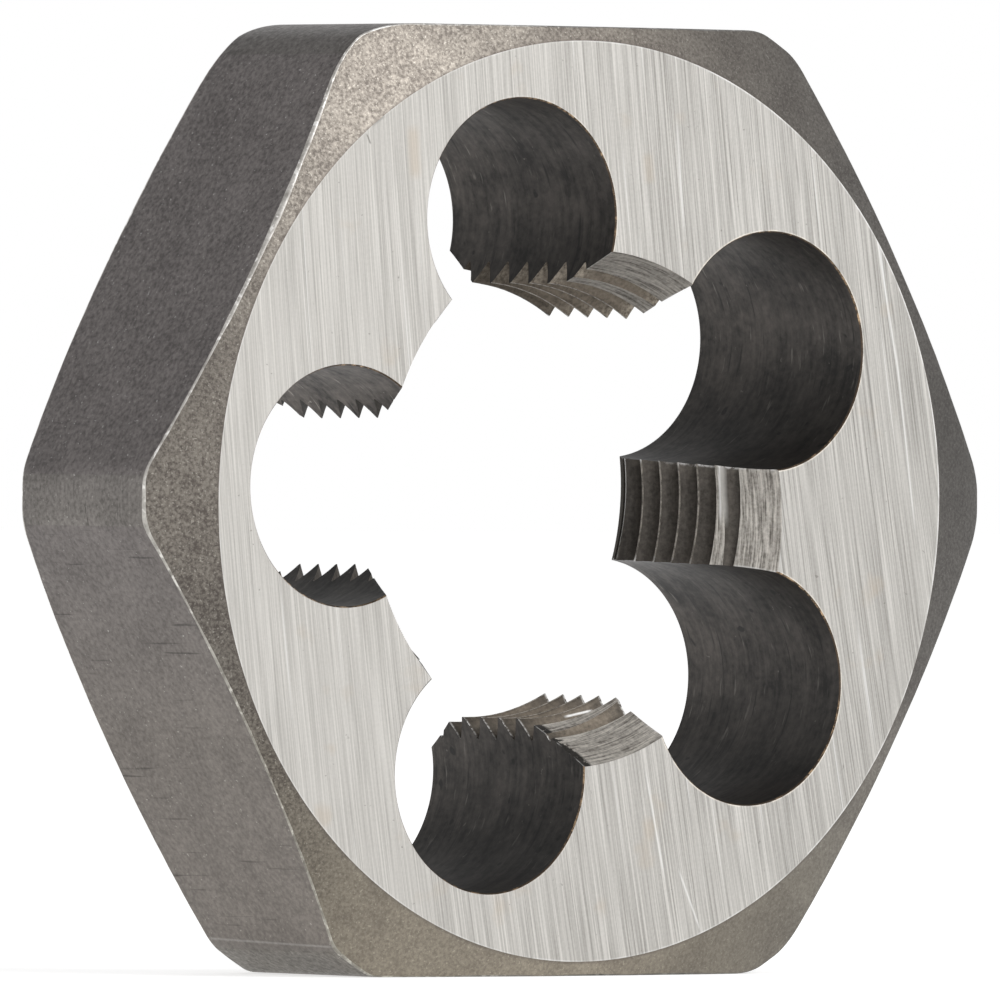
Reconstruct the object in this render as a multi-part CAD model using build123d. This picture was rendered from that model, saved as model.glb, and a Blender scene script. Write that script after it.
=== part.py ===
# A hexagonal threading die: one piece of tool steel. Five chip holes break into its threaded bore
# and leave five cutting lands between them. It stands on one of its flats, as a nut would.
# Millimetres. The thread's axis lies along Y, the leading face looks towards -Y, and +Z is up.
# The origin is on the thread's axis, midway between the two faces.
from build123d import *
import math
import os

# Hexagon body
across_flats = 47.625  # 1 7/8 inch
thickness = 12.7
corner_diameter = 53.5  # the bar's corners are turned down to this
face_diameter = 46.2  # the flat circle that is ground on each face
facing_angle = 20.5  # from the ground circle down to the corners, in degrees
facing_crown = 0.04  # the facing is this much fuller at its middle than a straight cone

# Thread, metric M24 x 1.5, right hand
thread_diameter = 24.0
thread_pitch = 1.5
flank_angle = 60.0  # between a groove's two flanks
crest_flat = 0.12  # a die's ridges and grooves are both nearly sharp
root_flat = 0.08
crest_depth = 1.45  # of the first crest below the leading face, at +X

# Chip holes
chip_hole_count = 5
chip_hole_diameter = 12.0
chip_hole_offset = 2.6  # from the rod's crests out to the circle that the holes are drilled on
chip_hole_lean = 1.9  # each hole leans round the axis by this many degrees on its way to the back
chip_hole_shift = 0.5  # the whole circle of holes is drilled this far off the axis, towards -X
first_chip_hole = 32.4  # round from +X as seen from the leading face, in degrees

# Tapered leads, where the rod enters the thread
front_lead_depth = 3.6
back_lead_depth = 2.6
front_lead_reach = 1.03  # how far the mouth opens past the rod's crests
back_lead_reach = 0.65
lead_shift = 0.2  # the leads are turned this far off the axis
lead_shift_angle = 225.0  # and this way: round from +X as seen from the leading face, in degrees
lead_relief = 0.8  # each land's taper is this far off the axis, so that only its cutting edge bites

# Sizes that follow from those above
rod_radius = thread_diameter / 2
flank_slope = math.tan(math.radians(flank_angle / 2))
sharp_height = thread_pitch / 2 / flank_slope
pitch_radius = rod_radius - sharp_height * 3 / 8  # where ridge and groove are equally wide
bore_radius = pitch_radius - (thread_pitch / 2 - crest_flat) / 2 / flank_slope
root_radius = pitch_radius + (thread_pitch / 2 - root_flat) / 2 / flank_slope
chip_circle_radius = rod_radius + chip_hole_offset
land_angle = 360 / chip_hole_count
first_land = first_chip_hole + land_angle / 2
past_face = 1.0  # how far a cut runs on past a face
past_bore = 0.1  # how far a groove's cut starts inside the bore


def turned_profile():
    """Half of the section that the lathe leaves: two facings and the band over the corners."""
    corner_radius = corner_diameter / 2
    face_radius = face_diameter / 2
    top = thickness / 2
    shoulder = top - (corner_radius - face_radius) * math.tan(math.radians(facing_angle))
    middle_radius = (face_radius + corner_radius) / 2
    middle_height = (top + shoulder) / 2 + 2 * facing_crown
    front_facing = Bezier((corner_radius, shoulder), (middle_radius, middle_height), (face_radius, top))
    back_facing = Bezier((face_radius, -top), (middle_radius, -middle_height), (corner_radius, -shoulder))
    corner_band = Line((corner_radius, -shoulder), (corner_radius, shoulder))
    across = Polyline((face_radius, top), (0, top), (0, -top), (face_radius, -top))
    return Plane.XZ * make_face(across + back_facing + corner_band + front_facing)


def hexagon_blank():
    """The bar's hexagon, with two corners on the X axis, faced and turned over its corners."""
    bar = extrude(RegularPolygon(across_flats / 2, 6, major_radius=False), thickness / 2, both=True)
    return bar & revolve(turned_profile(), Axis.Z)


def land_sector():
    """A wedge that holds one land, out to the middles of the chip holes beside it."""
    reach = chip_circle_radius / math.cos(math.radians(land_angle / 2))
    corner = Vector(reach, 0).rotate(Axis.Z, land_angle / 2)
    outline = Polyline((0, 0), (corner.X, -corner.Y), (corner.X, corner.Y), close=True)
    return extrude(make_face(outline), thickness / 2 + past_face, both=True)


def land_lead(depth, reach):
    """One land's taper at the upper face. It is off the axis, away from the cutting edge."""
    mouth_radius = rod_radius + reach
    slope = (mouth_radius - bore_radius) / depth
    length = depth + 2 * past_face
    cone = Cone(bore_radius - past_face * slope, mouth_radius + past_face * slope, length)
    return Pos(0, -lead_relief, thickness / 2 + past_face - length / 2) * cone & land_sector()


def leads():
    """The tapers of every land, at both faces."""
    centre = Pos(Vector(lead_shift, 0).rotate(Axis.Z, lead_shift_angle))
    front = land_lead(front_lead_depth, front_lead_reach)
    back = Rot(180, 0, 0) * land_lead(back_lead_depth, back_lead_reach)
    lands = PolarLocations(0, chip_hole_count, start_angle=first_land)
    return [centre * place * lead for place in lands for lead in (front, back)]


def thread_turns():
    """The helical groove, one turn after another, from past the leading face down past the other."""
    mouth = bore_radius - past_bore
    half_root = root_flat / 2
    half_mouth = half_root + (root_radius - mouth) * flank_slope
    groove = Polyline(
        (mouth, -half_mouth),
        (root_radius, -half_root),
        (root_radius, half_root),
        (mouth, half_mouth),
        close=True,
    )
    path = Helix(thread_pitch, thread_pitch, root_radius)
    turn = sweep(Plane.XZ * make_face(groove), path=path, is_frenet=True)
    turn_count = math.ceil(thickness / thread_pitch) + 2
    highest = thickness / 2 - crest_depth + thread_pitch / 2
    return [Pos(0, 0, highest - index * thread_pitch) * turn for index in range(turn_count)]


def chip_holes():
    """The drilled holes that break into the bore. Each keeps its place at the leading face and leans."""
    drill = Pos(0, 0, -thickness / 2) * Cylinder(chip_hole_diameter / 2, thickness + 2 * past_face)
    hole = Pos(0, 0, thickness / 2) * Rot(chip_hole_lean, 0, 0) * drill
    circle = PolarLocations(chip_circle_radius, chip_hole_count, start_angle=first_chip_hole)
    centre = Pos(-chip_hole_shift, 0, 0)
    return [centre * place * hole for place in circle]


def hex_die():
    die = hexagon_blank() - Cylinder(bore_radius, thickness + 2 * past_face)
    die -= thread_turns()
    die -= leads()
    die -= chip_holes()
    return Rot(90, 0, 0) * die


os.makedirs("parts", exist_ok=True)
export_step(hex_die(), "parts/hex_die.step")
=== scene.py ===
import math
import bpy
from mathutils import Matrix, Vector, noise


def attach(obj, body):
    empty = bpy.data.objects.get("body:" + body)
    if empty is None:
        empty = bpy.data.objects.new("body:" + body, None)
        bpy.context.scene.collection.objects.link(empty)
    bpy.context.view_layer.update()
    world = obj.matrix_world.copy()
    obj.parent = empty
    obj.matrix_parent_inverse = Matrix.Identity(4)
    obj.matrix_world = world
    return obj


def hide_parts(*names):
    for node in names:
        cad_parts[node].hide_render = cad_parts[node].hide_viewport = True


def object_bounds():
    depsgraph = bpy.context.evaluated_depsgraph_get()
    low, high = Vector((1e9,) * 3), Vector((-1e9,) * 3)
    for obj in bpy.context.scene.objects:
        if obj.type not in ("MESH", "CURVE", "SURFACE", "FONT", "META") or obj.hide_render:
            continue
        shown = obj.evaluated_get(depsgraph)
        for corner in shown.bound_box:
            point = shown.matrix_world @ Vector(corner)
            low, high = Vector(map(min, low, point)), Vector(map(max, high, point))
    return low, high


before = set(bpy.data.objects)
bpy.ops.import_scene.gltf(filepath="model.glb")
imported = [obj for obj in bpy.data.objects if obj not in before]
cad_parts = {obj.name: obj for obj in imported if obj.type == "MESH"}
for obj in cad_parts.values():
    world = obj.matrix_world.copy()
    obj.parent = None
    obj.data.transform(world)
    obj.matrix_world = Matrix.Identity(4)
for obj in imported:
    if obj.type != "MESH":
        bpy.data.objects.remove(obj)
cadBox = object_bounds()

# A hexagonal threading die, cut from one turned and faced blank of tool steel.
# Sizes are in millimetres here, and the finished mesh is scaled to metres at the end.
# The thread's axis lies along Y, the leading face looks towards -Y, and the die stands on a flat.
# Angles go round the axis from +X, in degrees, as seen from the leading face.

blank = {
    "acrossFlats": 47.625,
    "thickness": 12.7,
    "cornerDiameter": 53.5,
    "faceDiameter": 46.2,
    "facingAngle": 20.5,
    "facingCrown": 0.04,  # how much fuller the facing is at its middle than a straight cone
    # how softly the flats run into each corner's band, from +X round
    "cornerBlends": [0.45, 0.38, 0.95, 0.32, 0.25, 0.5],
    "edgeRound": 0.066,  # how far back the edge between facing and flat is worn round
    "edgeWander": 0.5,  # share by which that wear comes and goes
    "edgeContrast": 1.6,  # how strongly it follows the noise
    "edgeNoise": [(7.0, 1.0), (31.0, 0.5)],  # radius of each path through the noise, and its share
    "wornSpots": [(0.05, 181, 6), (0.1, 143, 17), (0.05, 236, 9)],  # more wear: depth, angle, spread
    "facingSteps": 8,  # rows of faces down the facing, round the edge and over the side
    "edgeSteps": 4,
    "sideSteps": 6,
    "middleAngles": (0, 18, 10),  # columns from the middle of a flat: first, last, count
    "cornerAngles": (19, 30, 23),
    "sharpAngle": 14,  # a steeper bend than this shades as an edge
}

thread = {
    "diameter": 24.0,
    "pitch": 1.5,
    "flankAngle": 60,
    "crestFlat": 0.12,  # a die's ridges and grooves are both nearly sharp
    "rootFlat": 0.08,
    "crestDepth": 1.45,  # of the first crest below the leading face, at +X
    # rounding of a groove's root and a ridge's crest: along and off the sharp corner, and the finish
    "rootRounding": [(-0.02, -0.004, "flank"), (0.01, -0.03, "flank"), (0.05, -0.087, "flank")],
    "crestRounding": [
        (-0.04, 0.07, "flank"), (-0.008, 0.026, "crest"), (0.022, 0.006, "crest"), (0.045, 0.0, "crest"),
    ],
    "stepsPerTurn": 120,
    "turns": 12,
    "turnsBack": 10,  # of these, the turns behind the die's first groove
    "wear": 0.03,  # how far the crests are worn here and there
    "wearNoise": (3.1, 1.3),  # radius of the path through the noise, and its fineness along the axis
}

chipHoles = {
    "count": 5,
    "diameter": 12.0,
    "circleRadius": 14.6,
    "shift": 0.5,  # the whole circle of holes is this far off the axis, towards -X
    "lean": 1.9,  # each hole leans round the axis by this many degrees on its way to the back
    "first": 32.4,
    # how far each hole is off its even place at the leading face, in x and z, fading out to the back
    "strays": [(0.14, -0.2), (0.07, 0.01), (0.0, -0.22), (0.08, -0.06), (-0.03, 0.05)],
    "rim": 0.034,  # the broken edge at each face, which comes and goes by its own size
    "rimDepth": 0.068,  # how far down from the face it starts
    "rimNoise": [(0.8, 1.5), (3.1, 1.0)],  # fineness of each noise that it follows, and its share
    "rimNoiseAlong": 0.5,  # and its fineness along the hole
    "segments": 200,
}

leads = {
    "frontDepth": 3.6,
    "backDepth": 2.6,
    "frontReach": 1.03,  # how far the mouth opens past the rod's crests
    "backReach": 0.65,
    "shift": 0.2,  # the leads are this far off the axis, and this way
    "shiftAngle": 225,
    "relief": 0.8,  # each land's taper is this far off the axis, so that only its cutting edge bites
    "halfSweep": 30.0,  # of each cutter, round from the middle of its land
    "tip": 0.9,  # how far inside the ridges' crests the cutters end
    "segments": 40,
}

finishes = ["ground", "facing", "flat", "corner", "edge", "rim", "drilled", "flank", "crest", "lead"]
finishIndex = {name: index for index, name in enumerate(finishes)}
metresPerMillimetre = 0.001
hexAngle = 60
halfThickness = blank["thickness"] / 2
halfFlats = blank["acrossFlats"] / 2
cornerRadius = blank["cornerDiameter"] / 2
faceRadius = blank["faceDiameter"] / 2
rodRadius = thread["diameter"] / 2
flankSlope = math.tan(math.radians(thread["flankAngle"] / 2))
pitchRadius = rodRadius - thread["pitch"] / 2 / flankSlope * 3 / 8  # here ridge and groove are as wide
boreRadius = pitchRadius - (thread["pitch"] / 2 - thread["crestFlat"]) / 2 / flankSlope
rootRadius = pitchRadius + (thread["pitch"] / 2 - thread["rootFlat"]) / 2 / flankSlope
landAngle = 360 / chipHoles["count"]
firstLand = chipHoles["first"] + landAngle / 2
pastFace = 1.0  # how far a cutter runs on past a face


def around(radius, angle, y):
    turn = math.radians(angle)
    return (radius * math.cos(turn), y, radius * math.sin(turn))


def spread(low, high, count):
    return [low + (high - low) * index / (count - 1) for index in range(count)]


def makeMesh(name, points, faces, tags):
    mesh = bpy.data.meshes.new(name)
    mesh.from_pydata(points, [], faces)
    for finish in finishes:
        mesh.materials.append(materials[finish])
    mesh.polygons.foreach_set("material_index", [finishIndex[tag] for tag in tags])
    mesh.update()
    item = bpy.data.objects.new(name, mesh)
    bpy.context.scene.collection.objects.link(item)
    return item


# The blank: columns of points from the ground circle, down the facing and over the side to the back

# The hexagon's flats run softly into the turned band: a soft minimum of the two
def outerRadius(angle):
    fromFlat = math.radians(angle % hexAngle - hexAngle / 2)
    flat = halfFlats / math.cos(fromFlat)
    softness = blank["cornerBlends"][round(angle / hexAngle) % 6]
    share = min(1.0, max(0.0, 0.5 + 0.5 * (cornerRadius - flat) / softness))
    return cornerRadius * (1 - share) + flat * share - softness * share * (1 - share)


def facingHeight(radius):
    along = (radius - faceRadius) / (cornerRadius - faceRadius)
    drop = (radius - faceRadius) * math.tan(math.radians(blank["facingAngle"]))
    return halfThickness - drop + 4 * blank["facingCrown"] * along * (1 - along)


def edgeWear(angle):
    worn = sum(share * noise.noise(Vector(around(size, angle, 0))) for size, share in blank["edgeNoise"])
    worn = max(-1.0, min(1.0, blank["edgeContrast"] * worn))
    edge = blank["edgeRound"] * (1 + blank["edgeWander"] * worn)
    for depth, middle, width in blank["wornSpots"]:
        edge += depth * math.exp(-((angle - middle) / width) ** 2)
    return edge


def blankColumn(angle):
    outer, edge = outerRadius(angle), edgeWear(angle)
    radii = spread(faceRadius, outer - edge, blank["facingSteps"] + 1)
    points = [(radius, facingHeight(radius)) for radius in radii]
    corner = (outer, facingHeight(outer))
    start, end = points[-1], (outer, corner[1] - edge)
    for index in range(blank["edgeSteps"]):
        step = (index + 1) / blank["edgeSteps"]
        points.append(tuple(
            start[axis] * (1 - step) ** 2 + 2 * corner[axis] * step * (1 - step) + end[axis] * step ** 2
            for axis in (0, 1)
        ))
    side = [(outer, height) for height in spread(end[1], -end[1], blank["sideSteps"] + 1)[1:-1]]
    back = [(radius, -height) for radius, height in reversed(points)]
    return points + side + back


def makeBlank():
    bandAngle = math.degrees(math.acos(halfFlats / cornerRadius))
    nudge = 0.01  # a strip of faces is judged just past its first column
    half = spread(*blank["middleAngles"]) + spread(*blank["cornerAngles"])
    sector = {round(side * angle + hexAngle / 2, 4) for side in (-1, 1) for angle in half}
    sector = sorted(sector - {hexAngle})
    angles = [corner * hexAngle + angle for corner in range(6) for angle in sector]
    columns = [blankColumn(angle) for angle in angles]
    rows = len(columns[0])
    points = [
        around(radius, angle, -height)
        for angle, column in zip(angles, columns) for radius, height in column
    ]
    facing, edge = ["facing"] * blank["facingSteps"], ["edge"] * blank["edgeSteps"]
    rowTags = facing + edge + ["side"] * blank["sideSteps"] + edge + facing
    faces, tags = [], []
    for index, angle in enumerate(angles):
        near, far = index * rows, (index + 1) % len(angles) * rows
        onBand = abs((angle + nudge) % hexAngle - hexAngle / 2) > bandAngle
        for row, tag in enumerate(rowTags):
            faces.append((near + row, near + row + 1, far + row + 1, far + row))
            tags.append(("corner" if onBand else "flat") if tag == "side" else tag)
    faces.append([index * rows for index in range(len(angles))])
    faces.append([index * rows + rows - 1 for index in reversed(range(len(angles)))])
    tags += ["ground", "ground"]
    return makeMesh("hexDie", points, faces, tags)


# The tap: a threaded rod whose ridges cut the grooves. Each row of points follows the helix, so a
# column's end joins the first column one pitch further on

def threadProfile():
    halfRoot = thread["rootFlat"] / 2
    halfMouth = halfRoot + (rootRadius - boreRadius) * flankSlope
    half = [(halfRoot + along, rootRadius + off, tag) for along, off, tag in thread["rootRounding"]]
    half.append(((halfRoot + halfMouth) / 2, (rootRadius + boreRadius) / 2, "flank"))
    half += [(halfMouth + along, boreRadius + off, tag) for along, off, tag in thread["crestRounding"]]
    rising = [(-along, radius, tag) for along, radius, tag in reversed(half)]
    return rising + half


def makeTap():
    pitch, steps = thread["pitch"], thread["stepsPerTurn"]
    path, fineness = thread["wearNoise"]
    profile = threadProfile()
    size = len(profile)
    lowest = halfThickness - thread["crestDepth"] + pitch / 2 - thread["turnsBack"] * pitch
    rows = thread["turns"] * size
    points, faces, tags = [], [], []
    for column in range(steps):
        angle = 360 * column / steps
        for row in range(rows + 1):
            turn, place = divmod(row, size)
            along, radius, tag = profile[place]
            height = lowest + turn * pitch + pitch * angle / 360 + along
            if tag == "crest":
                rub = noise.noise(Vector(around(path, angle, height * fineness)))
                radius += thread["wear"] * max(0.0, rub)
            points.append(around(radius, angle, -height))

    def place(column, row):
        return row + size if column == steps else column * (rows + 1) + row

    def rowTag(row):
        tag, following = profile[row % size][2], profile[(row + 1) % size][2]
        return tag if tag == following else "flank"

    for column in range(steps):
        for row in range(rows):
            if column == steps - 1 and row + 1 + size > rows:
                continue
            near = (place(column, row), place(column, row + 1))
            far = (place(column + 1, row + 1), place(column + 1, row))
            faces.append(near + far)
            tags.append(rowTag(row))
    bottom = [place(column, 0) for column in range(steps)] + [place(0, row) for row in range(size, 0, -1)]
    top = [place(column, rows) for column in range(steps - 1)]
    top += [place(steps - 1, row) for row in range(rows, rows - size, -1)]
    for loop, level in ((bottom, lowest), (top, lowest + thread["turns"] * pitch)):
        points.append((0, -level, 0))
        centre = len(points) - 1
        for index, corner in enumerate(loop):
            faces.append((centre, corner, loop[(index + 1) % len(loop)]))
            tags.append("flank")
    return makeMesh("tap", points, faces, tags)


# The drills: cylinders that flare where they break through a face

def holeMiddle(hole, y):
    angle = chipHoles["first"] + hole * landAngle
    leaned = (y + halfThickness) * math.tan(math.radians(chipHoles["lean"]))
    cx, _, cz = around(chipHoles["circleRadius"], angle, 0)
    sx, _, sz = around(leaned, angle + 90, 0)
    fade = (halfThickness - y) / blank["thickness"]
    strayX, strayZ = chipHoles["strays"][hole]
    return (cx + sx - chipHoles["shift"] + fade * strayX, cz + sz + fade * strayZ)


def rimWear(spot):
    worn = sum(share * noise.noise(spot * fineness) for fineness, share in chipHoles["rimNoise"])
    return chipHoles["rim"] * (1 + worn)


def makeDrills():
    radius, count = chipHoles["diameter"] / 2, chipHoles["segments"]
    rimStart = halfThickness - chipHoles["rimDepth"]
    shape = [
        (-halfThickness - pastFace, radius + pastFace),
        (-rimStart, radius),
        (rimStart, radius),
        (halfThickness + pastFace, radius + pastFace),
    ]
    points, faces, tags = [], [], []
    for hole in range(chipHoles["count"]):
        base = len(points)
        for y, wide in shape:
            cx, cz = holeMiddle(hole, y)
            for step in range(count):
                angle = 360 * step / count
                x, _, z = around(wide, angle, 0)
                if wide > radius:
                    spot = Vector((cx + x, chipHoles["rimNoiseAlong"] * y, cz + z))
                    x, _, z = around(wide + rimWear(spot), angle, 0)
                points.append((cx + x, y, cz + z))
        for row, tag in enumerate(("rim", "drilled", "rim")):
            low, high = base + row * count, base + (row + 1) * count
            for step in range(count):
                after = (step + 1) % count
                faces.append((low + step, high + step, high + after, low + after))
                tags.append(tag)
        last = base + (len(shape) - 1) * count
        faces.append([base + step for step in range(count)])
        faces.append([last + step for step in reversed(range(count))])
        tags += ["rim", "rim"]
    return makeMesh("drills", points, faces, tags)


# The lead cutters: slices of a cone for each land and face, off the axis by the relief

def makeLeadCutters():
    points, faces, tags = [], [], []
    count = leads["segments"]
    front = (-1, leads["frontDepth"], leads["frontReach"])
    back = (1, leads["backDepth"], leads["backReach"])
    sx, _, sz = around(leads["shift"], leads["shiftAngle"], 0)
    for land in range(chipHoles["count"]):
        middle = firstLand + land * landAngle
        for side, depth, reach in (front, back):
            mouth = rodRadius + reach
            slope = (mouth - boreRadius) / depth
            ox, _, oz = around(leads["relief"], middle + 90 * side, 0)
            ox, oz = ox + sx, oz + sz
            base = len(points)
            for down in (-pastFace, depth + leads["tip"] / slope):
                y = side * (halfThickness - down)
                points.append((ox, y, oz))
                for sweep in spread(-leads["halfSweep"], leads["halfSweep"], count):
                    x, _, z = around(mouth - slope * down, middle + sweep, 0)
                    points.append((ox + x, y, oz + z))
            stride = count + 1
            for step in range(count):
                low = base + step
                faces.append((low, low + 1, low + 1 + stride, low + stride))
            faces.append((base, base + stride, base + stride + count, base + count))
            faces.append([base + step for step in range(count + 1)])
            faces.append([base + stride + step for step in range(count + 1)])
            tags += ["lead"] * (count + 3)
    return makeMesh("leadCutters", points, faces, tags)


def outward(item):
    bpy.context.view_layer.objects.active = item
    item.select_set(True)
    bpy.ops.object.mode_set(mode="EDIT")
    bpy.ops.mesh.select_all(action="SELECT")
    bpy.ops.mesh.normals_make_consistent(inside=False)
    bpy.ops.object.mode_set(mode="OBJECT")
    item.select_set(False)


def applyAll(item):
    evaluated = item.evaluated_get(bpy.context.evaluated_depsgraph_get())
    mesh = bpy.data.meshes.new_from_object(evaluated)
    item.modifiers.clear()
    item.data = mesh


def cutAway(body, cutter):
    cut = body.modifiers.new("cut", "BOOLEAN")
    cut.operation = "DIFFERENCE"
    cut.solver = "EXACT"
    cut.object = cutter
    applyAll(body)
    bpy.data.objects.remove(cutter)


# Materials. Their coordinates are millimetres in the die's own frame

def newMaterial(name):
    material = bpy.data.materials.new(name)
    material.use_nodes = True
    tree = material.node_tree
    tree.nodes.clear()
    return material, tree


# A socket takes either another node's output or a plain value
def fill(tree, socket, value):
    if isinstance(value, bpy.types.NodeSocket):
        tree.links.new(value, socket)
    else:
        socket.default_value = value


def node(tree, kind, inputs=None, **settings):
    made = tree.nodes.new(kind)
    for name, value in settings.items():
        setattr(made, name, value)
    for name, value in (inputs or {}).items():
        fill(tree, made.inputs[name], value)
    return made


def number(tree, operation, first, second=0.0, clamp=False):
    made = node(tree, "ShaderNodeMath", {0: first, 1: second}, operation=operation, use_clamp=clamp)
    return made.outputs[0]


def product(tree, first, *others):
    for other in others:
        first = number(tree, "MULTIPLY", first, other)
    return first


def arrow(tree, operation, first, second=(0, 0, 0), third=None):
    inputs = {0: first, 1: second} if third is None else {0: first, 1: second, 2: third}
    made = node(tree, "ShaderNodeVectorMath", inputs, operation=operation)
    return made.outputs["Value" if operation in ("LENGTH", "DISTANCE", "DOT_PRODUCT") else "Vector"]


def axes(tree, place):
    return node(tree, "ShaderNodeSeparateXYZ", {0: place}).outputs


def blend(tree, parts):
    total = None
    for value, share in parts:
        part = product(tree, value, share)
        total = part if total is None else number(tree, "ADD", total, part)
    return total


def stretch(tree, value, low, high, newLow=0.0, newHigh=1.0):
    return node(tree, "ShaderNodeMapRange", {
        "Value": value, "From Min": low, "From Max": high, "To Min": newLow, "To Max": newHigh,
    }).outputs["Result"]


def mixColour(tree, share, first, second, blendType="MIX"):
    made = node(tree, "ShaderNodeMix", data_type="RGBA", blend_type=blendType, clamp_factor=True)
    for socket, value in ((0, share), (6, first), (7, second)):
        fill(tree, made.inputs[socket], value)
    return made.outputs[2]


def colour(red, green, blue):
    return (red, green, blue, 1.0)


def scaled(tree, place, x, y, z):
    return arrow(tree, "MULTIPLY", place, (x, y, z))


def millimetres(tree):
    spot = node(tree, "ShaderNodeTexCoord").outputs["Object"]
    return scaled(tree, spot, *[1 / metresPerMillimetre] * 3)


def grain(tree, place, size, detail=4.0, rough=0.6):
    return node(tree, "ShaderNodeTexNoise", {
        "Vector": place, "Scale": size, "Detail": detail, "Roughness": rough,
    }).outputs["Fac"]


# Noise of a fineness, detail and roughness, stretched from one range to another
def patchy(tree, place, size, detail, rough, *ranges):
    return stretch(tree, grain(tree, place, size, detail, rough), *ranges)


# Spots of a shade, each with its noise along x, y and z, detail, roughness, range, strength and shade
def spotted(tree, place, tint, spots, palette):
    for sizes, detail, rough, low, high, most, shade in spots:
        share = patchy(tree, scaled(tree, place, *sizes), 1.0, detail, rough, low, high, 0.0, most)
        tint = mixColour(tree, share, tint, palette[shade])
    return tint


def fromAxis(tree, place):
    return arrow(tree, "LENGTH", scaled(tree, place, 1, 0, 1))


mostGain = 2.0


# A gain that changes with the angle round the axis, from stops of (angle, gain up to mostGain)
def roundTone(tree, place, stops):
    x, _, z = axes(tree, place)
    turn = stretch(tree, number(tree, "ARCTAN2", z, x), -math.pi, math.pi)
    ramp = node(tree, "ShaderNodeValToRGB", {0: turn})
    ramp.color_ramp.interpolation = "EASE"
    points = ramp.color_ramp.elements
    for angle, gain in stops[1:-1]:
        points.new((angle + 180) / 360).color = colour(*[gain / mostGain] * 3)
    for index, gain in ((0, stops[0][1]), (-1, stops[-1][1])):
        points[index].color = colour(*[gain / mostGain] * 3)
    return product(tree, ramp.outputs[0], mostGain)


# How far a spot is from the nearest chip hole's wall
def beyondHoles(tree, place):
    along = axes(tree, place)[1]
    flat = scaled(tree, place, 1, 0, 1)
    nearest = None
    for hole in range(chipHoles["count"]):
        (cx, cz), (nextX, nextZ) = holeMiddle(hole, 0), holeMiddle(hole, 1)
        upright = arrow(tree, "MULTIPLY_ADD", along, (cx - nextX, 0, cz - nextZ), flat)
        away = arrow(tree, "DISTANCE", upright, (cx, 0, cz))
        nearest = away if nearest is None else number(tree, "MINIMUM", nearest, away)
    return number(tree, "SUBTRACT", nearest, chipHoles["diameter"] / 2)


markShape = {
    "core": 0.3,  # the share of a mark's width that has its full strength
    "ends": (0.32, 0.5, 1.0, 0.0),  # and how it fades along its length, measured from its middle
}


# 1 on a straight mark between two spots, 0 away from it and at its ends
def nearLine(tree, place, start, end, width):
    reach = tuple(last - first for first, last in zip(start, end))
    away = arrow(tree, "SUBTRACT", place, start)
    along = arrow(tree, "DOT_PRODUCT", away, reach)
    share = number(tree, "DIVIDE", along, sum(part * part for part in reach), True)
    foot = node(tree, "ShaderNodeVectorMath", {0: reach, "Scale": share}, operation="SCALE").outputs[0]
    near = stretch(tree, arrow(tree, "DISTANCE", away, foot), width * markShape["core"], width, 1.0, 0.0)
    fromMiddle = number(tree, "ABSOLUTE", number(tree, "SUBTRACT", share, 0.5))
    return product(tree, near, stretch(tree, fromMiddle, *markShape["ends"]))


# Each mark has its start, end, width, shade and strength
def marked(tree, place, tint, marks):
    for start, end, width, shade, strength in marks:
        share = product(tree, nearLine(tree, place, start, end, width), strength)
        tint = mixColour(tree, share, tint, shades[shade])
    return tint


def toned(tree, tint, gain):
    return node(tree, "ShaderNodeVectorMath", {0: tint, "Scale": gain}, operation="SCALE").outputs[0]


# A roughness that lies as far above as below a middle, and is lower where the noise is high
def roughened(tree, value, middle, span):
    return stretch(tree, value, 0.3, 0.7, middle + span, middle - span)


def steelSurface(tree, tint, roughness, height, depth, metallic, sheen=0.5):
    bump = node(tree, "ShaderNodeBump", {"Height": height, "Strength": 1.0, "Distance": depth})
    shader = node(tree, "ShaderNodeBsdfPrincipled", {
        "Base Color": tint, "Roughness": roughness, "Metallic": metallic, "Specular IOR Level": sheen,
        "Normal": bump.outputs[0],
    })
    node(tree, "ShaderNodeOutputMaterial", {"Surface": shader.outputs[0]})


# Bare steel, and what marks and stains it
shades = {
    "dark": colour(0.30, 0.288, 0.268),
    "light": colour(0.66, 0.64, 0.605),
    "plain": colour(0.523, 0.506, 0.477),
    "scratch": colour(0.19, 0.18, 0.165),
    "gleam": colour(0.86, 0.855, 0.84),
    "stain": colour(0.46, 0.38, 0.29),
    "cream": colour(0.86, 0.80, 0.70),
}

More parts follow.
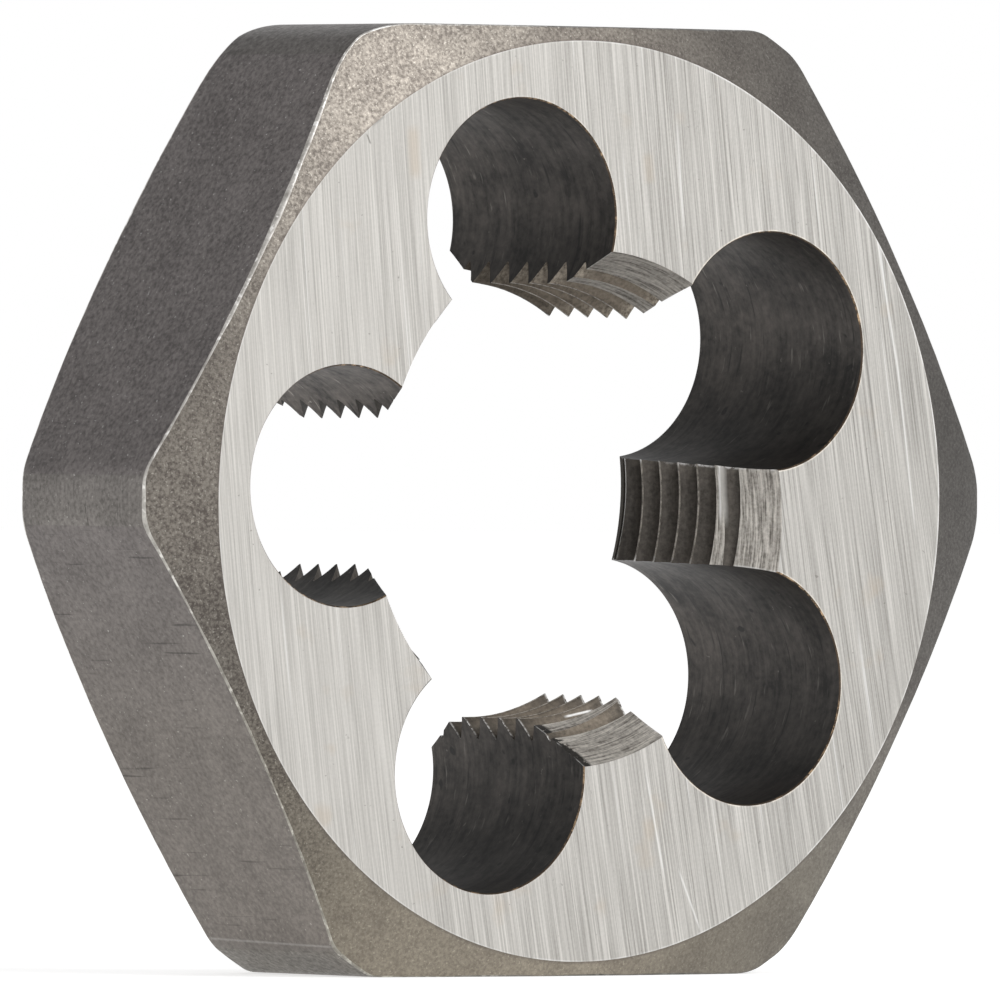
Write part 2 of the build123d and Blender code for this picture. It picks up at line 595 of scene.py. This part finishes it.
# The ground faces. A range in this look, and in those below, is (from, to) or
# (from, to, value at from, value at to)
groundLook = {
    # of the grinding lines: at the middle, and more of it towards +X and -Z
    "lean": (0.145, 0.0017, -0.00085),
    # sets of grinding lines: fineness across and along, place in the noise, detail
    "fine": (11.0, 0.11, 1.0, 3.0),
    "medium": (4.4, 0.05, 4.0, 3.0),
    "broad": (1.0, 0.02, 7.0, 3.0),
    "deep": (7.0, 0.14, 12.0, 2.0),
    "bright": (5.0, 0.05, 17.0, 1.0),
    "lineRough": 0.6,
    "grain": (6.0, 3.0, 0.6),
    "shares": (0.49, 0.28, 0.15, 0.08),  # of fine, medium and broad lines, and of the grain
    "contrast": (0.385, 0.595),
    "deepRange": (0.60, 0.71, 0.0, 0.55),
    "brightRange": (0.68, 0.75, 0.0, 0.55),
    "strength": (-16.0, 6.0, 0.68, 1.0),  # the lines are fainter towards -X
    "dimming": (-6.0, 22.0, 0.985, 0.89),  # and the face is darker towards +X
    "spots": [
        ((0.34, 0.34, 0.34), 3.0, 0.5, 0.64, 0.76, 0.35, "stain"),
        ((3.4, 3.4, 3.4), 2.0, 0.5, 0.74, 0.8, 0.6, "scratch"),
    ],
    "lineDepth": 0.000003,
    "roughness": (0.3, 0.7, 0.45, 0.34),
    "metallic": 0.85,
    "burr": (faceRadius - 0.09, faceRadius - 0.03),  # a bright line round the ground circle: a burred edge, with a painted highlight
    "burrBreaks": (0.6, 3.0, 0.6, 0.36, 0.56),
    # how strong that line is at each angle round the axis: a painted highlight where the edge catches the
    # light
    "burrHighlightByAngle": [
        (-180, 0.35), (-120, 0.3), (-60, 0.5), (0, 0.75), (60, 0.7), (95, 0.35), (130, 0.12), (160, 0.3),
        (180, 0.35),
    ],
    "holeBurr": (0.0775, 0.155, 0.85, 0.0),  # a cream line round each chip hole
    "holeBreaks": (0.9, 4.0, 0.65, 0.41, 0.54),
    "holeFade": (-8.5, 6.0, 0.0, 0.9),  # it is stronger towards +X
    "marks": [
        ((18.6, -6.35, 14.8), (20.45, -6.35, 6.0), 0.09, "gleam", 0.5),
        ((20.1, -6.35, 8.2), (21.6, -6.35, -1.8), 0.08, "gleam", 0.5),
        ((5.75, -6.35, 19.6), (6.35, -6.35, 13.4), 0.09, "gleam", 0.35),
        ((4.1, -6.35, -13.2), (5.5, -6.35, -19.2), 0.08, "gleam", 0.5),
        ((6.3, -6.35, -18.4), (7.85, -6.35, -21.7), 0.08, "gleam", 0.5),
        ((8.45, -6.35, 21.9), (9.45, -6.35, 13.6), 0.07, "scratch", 0.45),
        ((-14.0, -6.35, 18.25), (-13.72, -6.35, 17.7), 0.07, "scratch", 0.75),
        ((-13.75, -6.35, 18.65), (-12.85, -6.35, 19.25), 0.17, "scratch", 0.9),
        ((-11.1, -6.35, 18.8), (-10.85, -6.35, 15.9), 0.5, "stain", 0.4),
        ((3.9, -6.35, 17.6), (4.15, -6.35, 15.9), 0.45, "stain", 0.3),
    ],
}


def groundSteel():
    look = groundLook
    material, tree = newMaterial("groundSteel")
    place = millimetres(tree)
    x, y, z = axes(tree, place)
    middle, sideways, downwards = look["lean"]
    lean = number(tree, "ADD", blend(tree, ((x, sideways), (z, downwards))), middle)
    across = number(tree, "ADD", x, product(tree, z, lean))
    side = number(tree, "SIGN", y)

    def lines(name):
        acrossFineness, alongFineness, start, detail = look[name]
        spot = node(tree, "ShaderNodeCombineXYZ", {
            0: product(tree, across, acrossFineness),
            1: number(tree, "ADD", side, start),
            2: product(tree, z, alongFineness),
        }).outputs[0]
        return grain(tree, spot, 1.0, detail, look["lineRough"])

    parts = [lines("fine"), lines("medium"), lines("broad"), grain(tree, place, *look["grain"])]
    mixed = blend(tree, zip(parts, look["shares"]))
    tint = mixColour(tree, stretch(tree, mixed, *look["contrast"]), shades["dark"], shades["light"])
    tint = mixColour(tree, stretch(tree, lines("deep"), *look["deepRange"]), tint, shades["scratch"])
    tint = mixColour(tree, stretch(tree, lines("bright"), *look["brightRange"]), tint, shades["gleam"])
    tint = mixColour(tree, stretch(tree, x, *look["strength"]), shades["plain"], tint)
    tint = toned(tree, tint, stretch(tree, x, *look["dimming"]))
    tint = spotted(tree, place, tint, look["spots"], shades)
    tint = marked(tree, place, tint, look["marks"])
    # the burred line round the ground circle, with a painted highlight that changes with the angle round the
    # axis
    border = stretch(tree, fromAxis(tree, place), *look["burr"])
    burrHighlight = roundTone(tree, place, look["burrHighlightByAngle"])
    broken = patchy(tree, place, *look["burrBreaks"])
    tint = mixColour(tree, product(tree, border, burrHighlight, broken), tint, shades["gleam"])
    rim = stretch(tree, beyondHoles(tree, place), *look["holeBurr"])
    broken = patchy(tree, place, *look["holeBreaks"])
    fade = stretch(tree, x, *look["holeFade"])
    tint = mixColour(tree, product(tree, rim, broken, fade), tint, shades["cream"])
    roughness = stretch(tree, mixed, *look["roughness"])
    steelSurface(tree, tint, roughness, mixed, look["lineDepth"], look["metallic"])
    return material


# Surfaces that kept their grey heat-treatment scale, and the edges that rubbed bright, which also carry a
# painted highlight
scale = {
    "speck": (4.0, 0.65),  # detail and roughness of the finer noise
    "patch": (0.35, 4.0, 0.6),
    "shares": (0.75, 0.25),  # of specks and patches
    "plainRange": (0.3, 0.7, 0.45, 0.8),
    "dashNoise": (1.0, 2.0, 0.5, 0.655, 0.74, 0.0),
    "dashHeight": (-0.5, 2.5, 1.0, 0.0),  # rubbed dashes are on the lower flats
    "cool": colour(0.90, 0.93, 0.98),  # of the facing towards +X
    "coolRange": (2.0, 18.0),
    "warm": colour(0.985, 0.975, 0.90),  # of what lies below the middle
    "groove": (faceRadius + 0.03, faceRadius + 0.15, 0.5, 0.0),  # dirt round the ground circle
    "roughSpan": 0.08,
}

# In each look below, the gain by angle round the axis is painted light and shade: brighter where a side of
# the die catches the light, darker where it turns away
scaledLooks = {
    "facing": {
        "dark": colour(0.112, 0.0955, 0.084), "mid": colour(0.288, 0.261, 0.226),
        "light": colour(0.62, 0.585, 0.52), "grainScale": 5.8, "contrast": 0.10, "depth": 0.000022,
        "roughness": 0.42, "metallic": 0.75, "below": (-8.0, -19.0),
        "spots": [((8.41, 8.41, 8.41), 2.0, 0.5, 0.61, 0.73, 0.62, "light")],
        "paintedLightAndShade": [
            (-180, 0.81), (-160, 0.62), (-138, 0.76), (-115, 1.18), (-90, 1.27), (-68, 0.97), (-40, 0.94),
            (-12, 0.51), (5, 0.41), (40, 0.6), (65, 0.7), (90, 0.86), (105, 0.9), (118, 1.06), (140, 0.87),
            (165, 0.74), (180, 0.81),
        ],
        "rough": [
            (-180, 0.95), (-150, 0.95), (-120, 0.45), (-60, 0.38), (0, 0.5), (60, 0.6), (90, 0.75),
            (120, 0.7), (150, 0.75), (180, 0.95),
        ],
        "marks": [],
    },
    "flat": {
        "dark": colour(0.09, 0.081, 0.079), "mid": colour(0.187, 0.17, 0.165),
        "light": colour(0.56, 0.55, 0.54), "grainScale": 4.0, "contrast": 0.11, "depth": 0.00001,
        "roughness": 0.45, "metallic": 0.75, "below": (2.0, -12.0),
        "dashes": (4.5, 0.17, 4.5), "dashStrength": 0.5,
        "spots": [((5.8, 5.8, 5.8), 2.0, 0.5, 0.69, 0.77, 0.8, "light")],
        "paintedLightAndShade": [
            (-180, 1.1), (-175, 1.16), (-150, 1.33), (-123, 1.55), (-90, 1.3), (0, 1.1), (120, 1.25),
            (175, 1.21), (180, 1.12),
        ],
        "rough": [(-180, 0.65), (-120, 0.55), (0, 0.8), (120, 1.0), (172, 1.0), (180, 0.8)],
        "marks": [
            ((-14.74, 7.0, -22.02), (-14.58, -7.0, -22.35), 0.1, "gleam", 0.16),
            ((-14.55, 7.0, -22.22), (-14.38, -7.0, -22.58), 0.3, "scratch", 0.22),
        ],
    },
    "corner": {
        "dark": colour(0.10, 0.092, 0.086), "mid": colour(0.19, 0.176, 0.166),
        "light": colour(0.42, 0.405, 0.39), "grainScale": 4.0, "contrast": 0.12, "depth": 0.000008,
        "roughness": 0.42, "metallic": 0.75, "below": (2.0, -12.0),
        "dashes": (0.6, 6.5, 0.6), "dashStrength": 0.6,
        "spots": [((5.8, 5.8, 5.8), 2.0, 0.5, 0.68, 0.76, 0.7, "light")],
        "paintedLightAndShade": [
            (-180, 1.2), (-160, 1.2), (-125, 1.35), (-60, 1.0), (60, 0.9), (125, 1.0), (160, 1.1), (180, 1.2),
        ],
        "marks": [],
    },
    # The rounded edge is partly rubbed bright through the scale and partly a painted highlight: its pale
    # shades, its gain by angle and its gleam mark
    "edge": {
        "dark": colour(0.26, 0.245, 0.225), "mid": colour(0.60, 0.58, 0.55),
        "light": colour(0.84, 0.82, 0.79), "grainScale": 1.8, "contrast": 0.14, "depth": 0.000004,
        "roughness": 0.4, "metallic": 0.45, "below": (2.0, -12.0),
        "spots": [((2.61, 2.61, 2.61), 2.0, 0.5, 0.56, 0.66, 0.9, "light")],
        "paintedLightAndShade": [
            (-180, 1.1), (-160, 0.85), (-124, 0.85), (-105, 0.5), (-90, 0.3), (0, 0.3), (90, 0.4),
            (108, 0.8), (122, 1.3), (155, 1.3), (180, 1.1),
        ],
        "marks": [((-12.9, -5.0, 23.5), (-11.5, -5.05, 23.75), 0.35, "gleam", 1.0)],
    },
}


def scaledSteel(name):
    look = scaledLooks[name]
    material, tree = newMaterial(name + "Steel")
    place = millimetres(tree)
    x, _, z = axes(tree, place)
    speck = grain(tree, place, look["grainScale"], *scale["speck"])
    patch = grain(tree, place, *scale["patch"])
    share = blend(tree, zip((speck, patch), scale["shares"]))
    contrast = stretch(tree, share, 0.5 - look["contrast"], 0.5 + look["contrast"])
    tint = mixColour(tree, contrast, look["dark"], look["mid"])
    tint = spotted(tree, place, tint, look["spots"], look)
    relief = share
    if "rough" in look:
        rough = roundTone(tree, place, look["rough"])
        plain = mixColour(tree, stretch(tree, patch, *scale["plainRange"]), look["dark"], look["mid"])
        tint = mixColour(tree, rough, plain, tint)
        relief = product(tree, share, rough)
    if "dashes" in look:
        dashes = patchy(tree, scaled(tree, place, *look["dashes"]), *scale["dashNoise"], look["dashStrength"])
        lower = stretch(tree, z, *scale["dashHeight"])
        tint = mixColour(tree, product(tree, dashes, lower), tint, look["dark"], "MULTIPLY")
    # painted light and shade, by the angle round the axis
    tint = toned(tree, tint, roundTone(tree, place, look["paintedLightAndShade"]))
    tint = mixColour(tree, stretch(tree, z, *look["below"]), tint, scale["warm"], "MULTIPLY")
    tint = marked(tree, place, tint, look["marks"])
    if name == "facing":
        tint = mixColour(tree, stretch(tree, x, *scale["coolRange"]), tint, scale["cool"], "MULTIPLY")
        tint = mixColour(tree, stretch(tree, fromAxis(tree, place), *scale["groove"]), tint, look["dark"])
    roughness = roughened(tree, speck, look["roughness"], scale["roughSpan"])
    steelSurface(tree, tint, roughness, relief, look["depth"], look["metallic"])
    return material


drilledLook = {
    "dark": colour(0.0155, 0.0135, 0.012),
    "light": colour(0.0765, 0.0665, 0.0585),
    "pale": colour(0.21, 0.195, 0.175),
    "pit": colour(0.005, 0.0043, 0.0038),
    "mottle": (0.38, 6.0, 0.68),
    "rings": (0.15, 2.4, 0.15),  # tool marks run round the hole
    "ringNoise": (1.0, 4.0, 0.62),
    "speck": (2.6, 4.0, 0.62),
    "shares": (0.46, 0.26, 0.28),  # of mottle, rings and specks
    "contrast": (0.405, 0.605),
    "spots": [
        ((0.35, 3.2, 0.35), 2.0, 0.5, 0.62, 0.72, 0.75, "pit"),
        ((0.7, 3.6, 0.7), 2.0, 0.5, 0.67, 0.76, 0.5, "pale"),
        ((1.2, 1.2, 1.2), 1.0, 0.5, 0.71, 0.76, 0.85, "pit"),
        ((2.7, 2.7, 2.7), 2.0, 0.5, 0.73, 0.79, 0.6, "pale"),
    ],
    "depthTones": (-6.35, 6.35, 0.86, 1.2),  # a little paler towards the back
    "paintedWallShade": (-0.2, 0.7, 1.15, 0.6),  # painted shade on the walls that face up, and painted light on those that face down
    "leftRanges": ((-6.5, -8.5), (1.0, 4.0)),  # in x and z: the left hole's upper wall is paler
    "leftTone": 2.35,
    "marks": [((11.0, -1.6, 2.0), (11.8, -5.2, 1.55), 0.09, "gleam", 0.9)],
    "depth": 0.000014,
    "roughness": (0.3, 0.7, 0.58, 0.42),
    "metallic": 0.5,
}


def drilledSteel():
    look = drilledLook
    material, tree = newMaterial("drilledSteel")
    place = millimetres(tree)
    x, y, z = axes(tree, place)
    mottle = grain(tree, place, *look["mottle"])
    rings = grain(tree, scaled(tree, place, *look["rings"]), *look["ringNoise"])
    speck = grain(tree, place, *look["speck"])
    share = blend(tree, zip((mottle, rings, speck), look["shares"]))
    tint = mixColour(tree, stretch(tree, share, *look["contrast"]), look["dark"], look["light"])
    tint = spotted(tree, place, tint, look["spots"], look)
    tint = toned(tree, tint, stretch(tree, y, *look["depthTones"]))
    # painted shade and light by which way a wall faces
    upward = axes(tree, node(tree, "ShaderNodeTexCoord").outputs["Normal"])[2]
    tint = toned(tree, tint, stretch(tree, upward, *look["paintedWallShade"]))
    acrossRange, heightRange = look["leftRanges"]
    left = product(tree, stretch(tree, x, *acrossRange), stretch(tree, z, *heightRange))
    tint = toned(tree, tint, stretch(tree, left, 0.0, 1.0, 1.0, look["leftTone"]))
    tint = marked(tree, place, tint, look["marks"])
    roughness = stretch(tree, share, *look["roughness"])
    steelSurface(tree, tint, roughness, share, look["depth"], look["metallic"])
    return material


# Thread, leads and hole rims, which the tools left in rings and which rubbed bright at their edges, with
# painted light and shade on the bore's surfaces
combMarks = [
    ((2.5, -1.77, -10.9), (4.3, -1.92, -10.55), 0.09, "gleam", 1.0),
    ((2.4, -1.95, -10.95), (3.6, -2.05, -10.8), 0.12, "scratch", 0.9),
    ((10.85, -3.8, 3.6), (11.25, -3.6, -1.4), 0.34, "light", 0.6),
    ((10.85, -3.62, 3.6), (11.25, -3.42, -1.4), 0.08, "gleam", 0.7),
    ((10.85, -3.92, 2.8), (11.25, -3.74, -0.9), 0.06, "scratch", 0.5),
]

turned = {
    "ringNoise": (1.0, 5.0, 0.65),
    "mottleNoise": (4.0, 0.65),
    "patches": (0.3, 2.0, 0.5, 0.42, 0.56, 0.9, 0.0),
    "backRange": (2.5, 5.0),  # the bore's back has painted shade and is duller over this stretch of y
    "sheen": 0.5,
    "roughSpan": 0.08,
    "bottomLand": (-5.0, -8.0),  # heights over which what belongs to the bottom land sets in
    "brown": colour(1.0, 0.95, 0.86),  # of the upper and lower lands' flanks
    "brownRange": (3.0, 8.0),
    # what the flanks have beside the chip holes, over these distances from their walls: a painted highlight
    # on the upper land, painted shade on the lower land and a thin bright burr
    "shine": (0.0, 0.9, 0.5, 0.0),
    "shineBreaks": (0.38, 0.6),
    "shineHeight": (5.0, 8.0),
    "shineFade": (-4.0, 5.0, 1.0, 0.15),
    "shadow": (0.2, 1.3, 0.5, 0.0),
    "flankBurr": (0.03, 0.13, 0.6, 0.0),
    "flankBreaks": (0.42, 0.55),
    "rightLand": ((8.0, 9.0), (1.5, -1.0), (0.3, 1.2)),  # in x, y and z: the upper edge of the right land
    # the lead's chipped edge at the bottom hole
    "chipNoise": (2.0, 4.0, 0.7, 0.36, 0.48, 0.1, 0.6),
    "chipRange": (0.7, 1.0, 0.95, 0.0),
    "chipSide": (3.6, 2.4),
    "burrBreaks": (1.1, 3.0, 0.7, 0.46, 0.58),
}

# In each look, the gain by angle round the axis is painted light and shade, and the darkening towards the
# bore's back is painted shade
turnedLooks = {
    "rim": {
        "dark": colour(0.07, 0.048, 0.032), "light": colour(0.72, 0.50, 0.30), "rings": (2.0, 2.0, 2.0),
        "mottle": 3.4, "share": 0.1, "contrast": (0.48, 0.68), "depth": 0.000003, "roughness": 0.4,
        "metallic": 0.6, "marks": [],
    },
    "flank": {
        "dark": colour(0.05, 0.043, 0.036), "light": colour(0.125, 0.110, 0.094), "rings": (0.4, 6.0, 0.4),
        "mottle": 4.6, "share": 0.4, "contrast": (0.36, 0.66), "depth": 0.000008, "roughness": 0.45,
        "metallic": 0.5, "paintedBackShade": 0.6, "backShine": 0.6,
        "paintedLightAndShade": [
            (-180, 1.1), (-120, 1.4), (-76, 1.95), (-35, 1.2), (-4, 1.02), (30, 1.2), (68, 1.85),
            (105, 1.3), (140, 0.25), (180, 1.1),
        ],
        "marks": combMarks,
    },
    "crest": {
        "dark": colour(0.085, 0.075, 0.063), "light": colour(0.35, 0.32, 0.28), "rings": (0.6, 4.0, 0.6),
        "mottle": 4.0, "share": 0.25, "contrast": (0.38, 0.60), "depth": 0.000004, "roughness": 0.45,
        "metallic": 0.5, "paintedBackShade": 0.14, "backShine": 0.0, "burr": (0.02, 0.35, 0.8, 0.0),
        "paintedLightAndShade": [(-180, 1.1), (-76, 1.9), (-4, 1.05), (68, 1.35), (180, 1.1)],
        "marks": combMarks,
    },
    "lead": {
        "dark": colour(0.13, 0.116, 0.10), "light": colour(0.62, 0.585, 0.535), "rings": (0.5, 8.5, 0.5),
        "mottle": 5.0, "share": 0.72, "contrast": (0.375, 0.60), "depth": 0.000016, "roughness": 0.42,
        "metallic": 0.45, "paintedBackShade": 0.3, "backShine": 0.0, "burr": (0.02, 0.1, 0.6, 0.0),
        "paintedLightAndShade": [(-180, 1.1), (-76, 1.38), (-40, 1.1), (-4, 1.0), (30, 1.0), (68, 1.02), (180, 1.1)],
        "marks": combMarks,
    },
}


# The flanks: a painted highlight beside the holes on the upper land, a brown tint on the upper and lower
# lands, painted shade beside the holes on the lower land, and a thin bright burr
def flankWearAndPaintedLight(tree, place, tint, gap, mottle):
    x, y, z = axes(tree, place)
    upper = stretch(tree, z, *turned["shineHeight"])
    fade = stretch(tree, y, *turned["shineFade"])
    near = stretch(tree, gap, *turned["shine"])
    broken = stretch(tree, mottle, *turned["shineBreaks"])
    tint = mixColour(tree, product(tree, near, broken, upper, fade), tint, turnedLooks["lead"]["light"])
    brown = stretch(tree, number(tree, "ABSOLUTE", z), *turned["brownRange"])
    tint = mixColour(tree, brown, tint, turned["brown"], "MULTIPLY")
    low = stretch(tree, z, *turned["bottomLand"])
    shaded = product(tree, stretch(tree, gap, *turned["shadow"]), low)
    tint = mixColour(tree, shaded, tint, drilledLook["dark"])
    spans = zip((x, y, z), turned["rightLand"])
    beside = product(tree, *[stretch(tree, axis, *span) for axis, span in spans])
    burred = number(tree, "MAXIMUM", low, beside)
    thin = product(tree, stretch(tree, gap, *turned["flankBurr"]), burred)
    broken = stretch(tree, mottle, *turned["flankBreaks"])
    return mixColour(tree, product(tree, thin, broken), tint, shades["gleam"])


def chippedLead(tree, place, tint, gap):
    x, _, z = axes(tree, place)
    depth = patchy(tree, place, *turned["chipNoise"])
    chipped = stretch(tree, number(tree, "DIVIDE", gap, depth), *turned["chipRange"])
    low, side = stretch(tree, z, *turned["bottomLand"]), stretch(tree, x, *turned["chipSide"])
    return mixColour(tree, product(tree, chipped, low, side), tint, drilledLook["dark"])


def turnedSteel(name):
    look = turnedLooks[name]
    material, tree = newMaterial(name + "Steel")
    place = millimetres(tree)
    y = axes(tree, place)[1]
    rings = grain(tree, scaled(tree, place, *look["rings"]), *turned["ringNoise"])
    mottle = grain(tree, place, look["mottle"], *turned["mottleNoise"])
    share = blend(tree, ((rings, look["share"]), (mottle, 1 - look["share"])))
    tint = mixColour(tree, stretch(tree, share, *look["contrast"]), look["dark"], look["light"])
    metallic, sheen = look["metallic"], turned["sheen"]
    if name == "rim":
        tint = mixColour(tree, patchy(tree, place, *turned["patches"]), tint, look["dark"])
    else:
        # painted shade towards the bore's back, then painted light and shade by the angle round the axis
        tint = toned(tree, tint, stretch(tree, y, *turned["backRange"], 1.0, look["paintedBackShade"]))
        tint = toned(tree, tint, roundTone(tree, place, look["paintedLightAndShade"]))
        metallic = stretch(tree, y, *turned["backRange"], metallic, metallic * look["backShine"])
        sheen = stretch(tree, y, *turned["backRange"], sheen, sheen * look["backShine"])
        gap = beyondHoles(tree, place)
    if name == "flank":
        tint = flankWearAndPaintedLight(tree, place, tint, gap, mottle)
    if name == "lead":
        tint = chippedLead(tree, place, tint, gap)
    if "burr" in look:
        thin = stretch(tree, gap, *look["burr"])
        broken = patchy(tree, place, *turned["burrBreaks"])
        tint = mixColour(tree, product(tree, thin, broken), tint, shades["gleam"])
    tint = marked(tree, place, tint, look["marks"])
    roughness = roughened(tree, share, look["roughness"], turned["roughSpan"])
    steelSurface(tree, tint, roughness, share, look["depth"], metallic, sheen)
    return material


materials = {"ground": groundSteel(), "drilled": drilledSteel()}
for finish in scaledLooks:
    materials[finish] = scaledSteel(finish)
for finish in turnedLooks:
    materials[finish] = turnedSteel(finish)
print("materials made:", len(materials))

die = makeBlank()
outward(die)
for makeCutter in (makeTap, makeLeadCutters, makeDrills):
    cutter = makeCutter()
    outward(cutter)
    cutAway(die, cutter)
    print("cut with", makeCutter.__name__, "faces", len(die.data.polygons))

die.data.transform(Matrix.Scale(metresPerMillimetre, 4))
die.data.shade_smooth()
die.data.set_sharp_from_angle(angle=math.radians(blank["sharpAngle"]))
weighted = die.modifiers.new("weighted", "WEIGHTED_NORMAL")
weighted.keep_sharp = True
applyAll(die)
die.data.calc_loop_triangles()
print("triangles", len(die.data.loop_triangles))
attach(die, "root")
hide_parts("hex_die")


# The stage, in metres

studio = {
    "floorSize": 6.0,
    "floorGap": 0.00002,  # below the die
    "floorPaint": colour(0.8, 0.8, 0.8),
    "floorGlow": 0.62,
    "worldLight": 0.5,
    "overhead": 0.45,  # the white surround fades to this grey above
    "fade": (0.08, 0.6),  # as the look goes up from this height to this one
    "lamps": [
        {"name": "keyLight", "at": (0.33, -0.80, 0.51), "size": 0.55, "power": 4.6},
        {"name": "fillLight", "at": (-0.95, -0.3, 0.1), "size": 0.6, "power": 1.4},
    ],
}

white = colour(1, 1, 1)


# 1 where the camera, or a mirroring or clear surface, looks at it, and 0 where it lights something
def seenOnly(tree):
    ray = node(tree, "ShaderNodeLightPath").outputs
    mirrored = number(tree, "MAXIMUM", ray["Is Glossy Ray"], ray["Is Transmission Ray"])
    return number(tree, "MAXIMUM", ray["Is Camera Ray"], mirrored)


def makeFloor():
    material, tree = newMaterial("paleFloor")
    glow = node(tree, "ShaderNodeEmission", {"Color": white, "Strength": studio["floorGlow"]})
    paint = node(tree, "ShaderNodeBsdfDiffuse", {"Color": studio["floorPaint"]})
    both = node(tree, "ShaderNodeAddShader", {0: glow.outputs[0], 1: paint.outputs[0]})
    shown = node(tree, "ShaderNodeMixShader", {0: seenOnly(tree), 1: paint.outputs[0], 2: both.outputs[0]})
    node(tree, "ShaderNodeOutputMaterial", {"Surface": shown.outputs[0]})
    half = studio["floorSize"] / 2
    level = cadBox[0][2] - studio["floorGap"]
    corners = [(-half, -half, level), (half, -half, level), (half, half, level), (-half, half, level)]
    mesh = bpy.data.meshes.new("floor")
    mesh.from_pydata(corners, [], [(0, 1, 2, 3)])
    mesh.materials.append(material)
    floor = bpy.data.objects.new("floor", mesh)
    bpy.context.scene.collection.objects.link(floor)


def makeWorld():
    world = bpy.data.worlds.new("studio")
    bpy.context.scene.world = world
    world.use_nodes = True
    tree = world.node_tree
    tree.nodes.clear()
    height = axes(tree, node(tree, "ShaderNodeTexCoord").outputs["Generated"])[2]
    surround = stretch(tree, height, *studio["fade"], 1.0, studio["overhead"])
    light = node(tree, "ShaderNodeBackground", {"Color": white, "Strength": studio["worldLight"]})
    seen = node(tree, "ShaderNodeBackground", {"Color": white, "Strength": surround})
    shown = node(tree, "ShaderNodeMixShader", {0: seenOnly(tree), 1: light.outputs[0], 2: seen.outputs[0]})
    node(tree, "ShaderNodeOutputWorld", {"Surface": shown.outputs[0]})


def makeLamps():
    for lamp in studio["lamps"]:
        light = bpy.data.lights.new(lamp["name"], "AREA")
        light.size = lamp["size"]
        light.energy = lamp["power"]
        item = bpy.data.objects.new(lamp["name"], light)
        item.location = lamp["at"]
        item.rotation_euler = (-Vector(lamp["at"])).to_track_quat("-Z", "Y").to_euler()
        bpy.context.scene.collection.objects.link(item)


view = {
    "azimuth": 38.354,  # how far the camera stands round to the left of the leading face, in degrees
    "elevation": 0.255,
    "roll": 0.519,
    "distance": 1.1977,
    "lens": 856.2,
    "sensor": 36,
    "nearest": 0.1,
    "furthest": 20,
    "sideStep": -0.000232,  # moves the die in the frame
    "lift": 0.0000041,
}


def makeCamera():
    azimuth, elevation, roll = (math.radians(view[name]) for name in ("azimuth", "elevation", "roll"))
    level = math.cos(elevation)
    back = Vector((-math.sin(azimuth) * level, -math.cos(azimuth) * level, math.sin(elevation)))
    right = Vector((math.cos(azimuth), -math.sin(azimuth), 0))
    up = back.cross(right)
    right, up = (
        math.cos(roll) * right + math.sin(roll) * up,
        math.cos(roll) * up - math.sin(roll) * right,
    )
    camera = bpy.data.cameras.new("camera")
    camera.lens = view["lens"]
    camera.sensor_width = view["sensor"]
    camera.clip_start = view["nearest"]
    camera.clip_end = view["furthest"]
    item = bpy.data.objects.new("camera", camera)
    spot = back * view["distance"] + right * view["sideStep"] + up * view["lift"]
    item.matrix_world = Matrix.Translation(spot) @ Matrix((right, up, back)).transposed().to_4x4()
    bpy.context.scene.collection.objects.link(item)
    bpy.context.scene.camera = item


makeFloor()
makeWorld()
makeLamps()
makeCamera()
bpy.context.scene.view_settings.view_transform = "Standard"
print("stage made")
